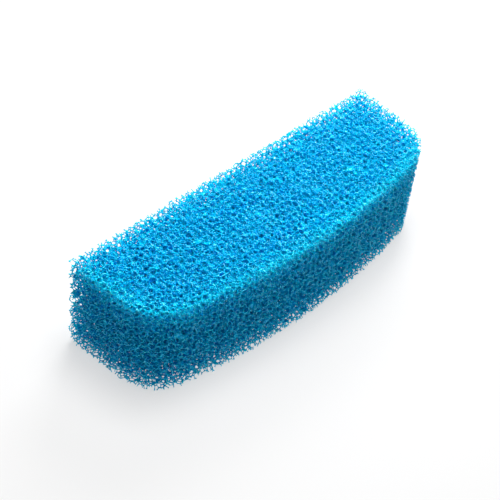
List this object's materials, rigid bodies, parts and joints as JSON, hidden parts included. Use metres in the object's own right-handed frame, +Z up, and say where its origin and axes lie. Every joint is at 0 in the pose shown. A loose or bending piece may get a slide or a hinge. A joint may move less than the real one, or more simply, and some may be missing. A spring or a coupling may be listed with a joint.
{
  "type": "filter sponge",
  "caption": "Block of coarse open-cell filter foam with a straight back, slightly tapered ends and a bowed front with rounded corners, which strains the water in a filter chamber.",
  "frame": {"origin": "middle of the bottom face's bounding rectangle", "axes": "+X along the straight back edge, +Y towards the straight back face, +Z up through the thickness of the foam"},
  "size_m": [0.15, 0.048, 0.04],
  "materials": {
    "foam": "reticulated open-cell polyurethane, slightly translucent blue strands with a soft gloss"
  },
  "bodies": {
    "root": {"foam_block": "foam"}
  },
  "joints": []
}
